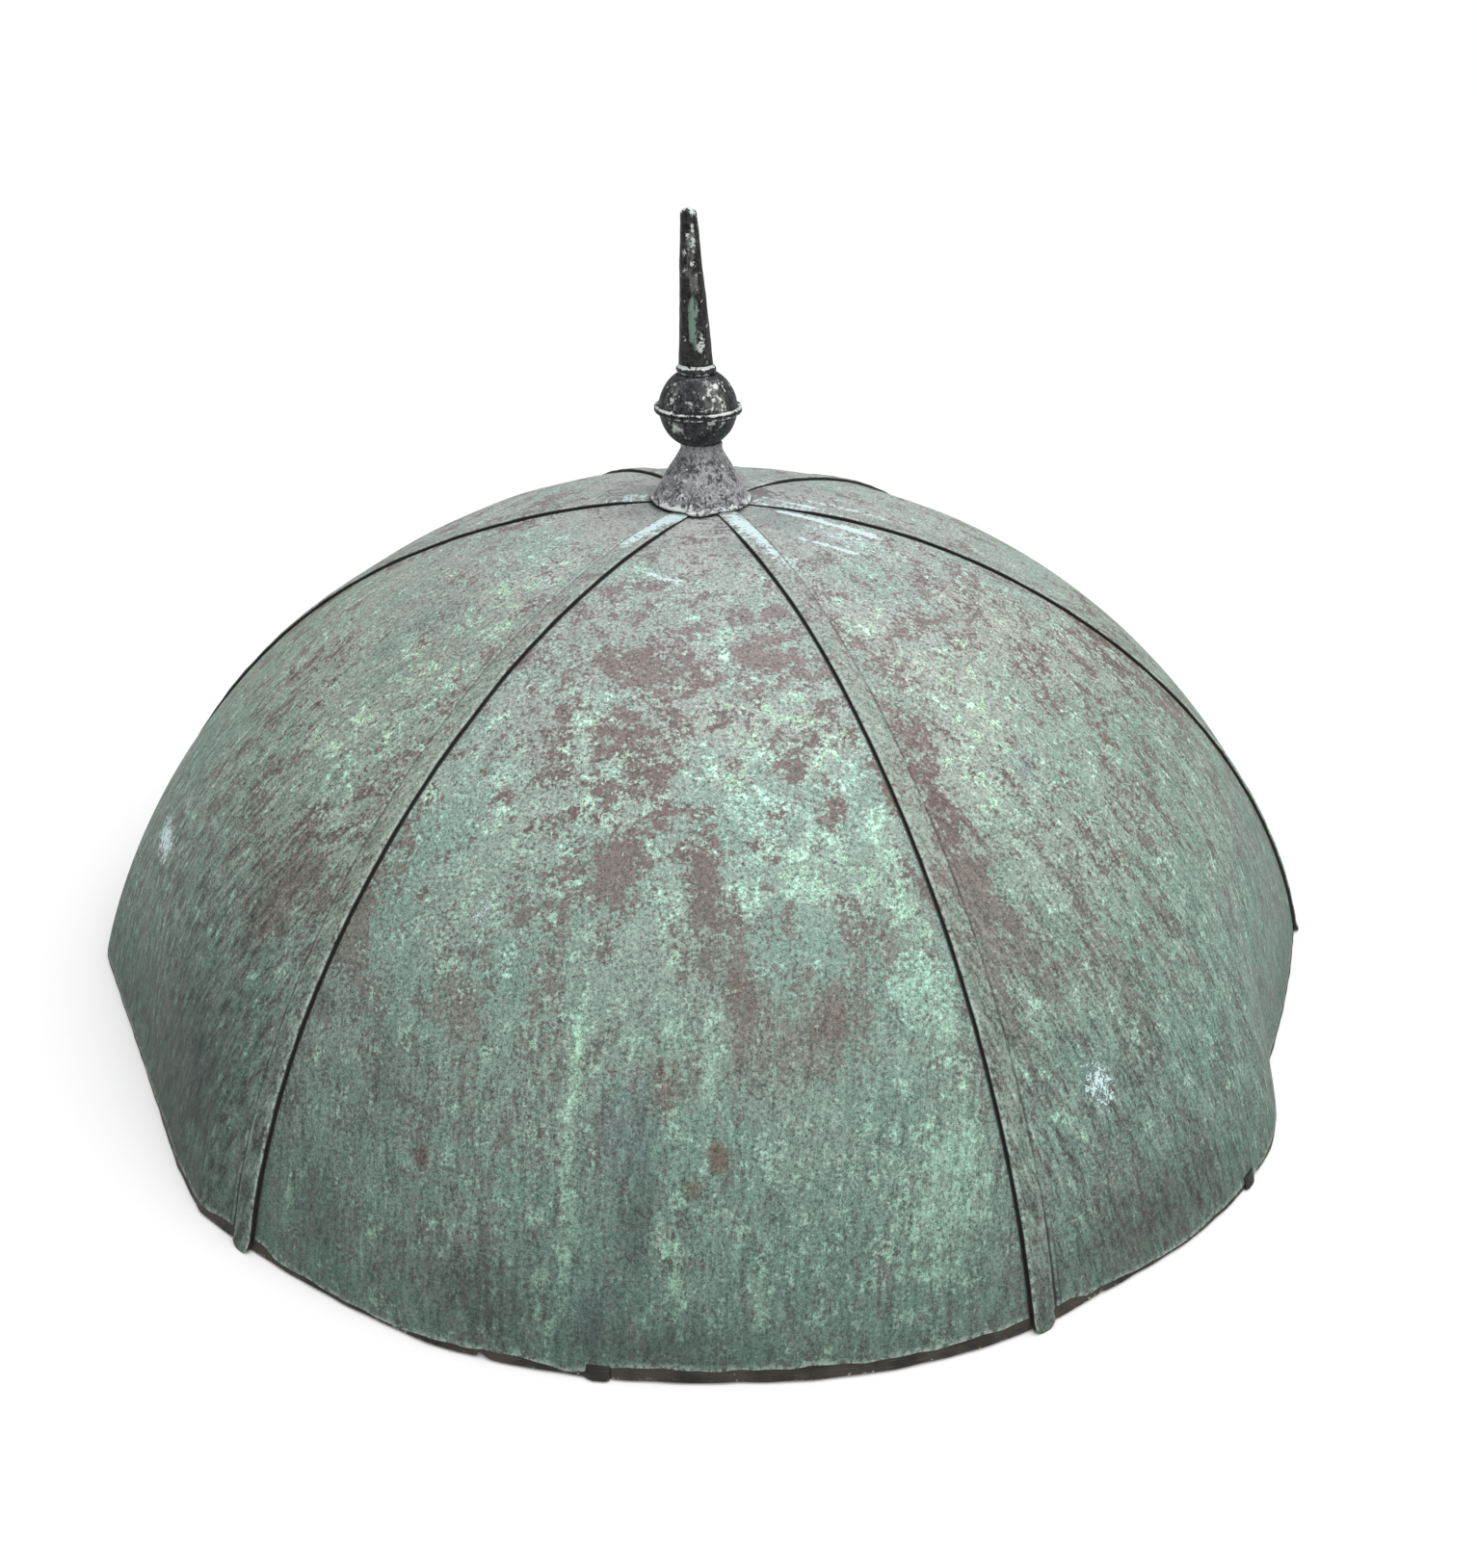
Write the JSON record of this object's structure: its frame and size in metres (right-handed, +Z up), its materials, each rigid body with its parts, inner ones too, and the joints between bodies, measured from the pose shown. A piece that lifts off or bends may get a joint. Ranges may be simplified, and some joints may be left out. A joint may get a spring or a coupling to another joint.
{
  "type": "roof cupola dome",
  "caption": "Weathered copper roof dome of lapped gores with folded seams, a dented rim band and a ball-and-spike finial, open underneath.",
  "frame": {"origin": "on the dome's axis, level with the ends of the seam strips that it stands on", "axes": "+Z up along the dome's axis towards the finial, -Y towards the front gore of the picture, +X to its right"},
  "size_m": [1.7034, 1.6957, 0.9488],
  "materials": {
    "verdigris_copper": "matt verdigris over brown oxide, flaked and streaked",
    "brown_copper": "dark brown oxide, worn pale along the edge",
    "grey_zinc": "dark grey weathered sheet zinc with pale scuffs"
  },
  "bodies": {
    "root": {"gore_left": "verdigris_copper", "gore_front": "verdigris_copper", "gore_right": "verdigris_copper", "gore_back_right": "verdigris_copper", "gore_back": "verdigris_copper", "gore_back_left": "verdigris_copper", "rim_band_1": "brown_copper", "rim_band_2": "brown_copper", "rim_band_3": "brown_copper", "rim_band_4": "brown_copper", "rim_band_5": "brown_copper", "rim_band_6": "brown_copper", "finial_base": "grey_zinc", "finial_ball_lower": "grey_zinc", "finial_ball_upper": "grey_zinc", "finial_collar": "grey_zinc", "finial_spike": "grey_zinc"}
  },
  "joints": []
}
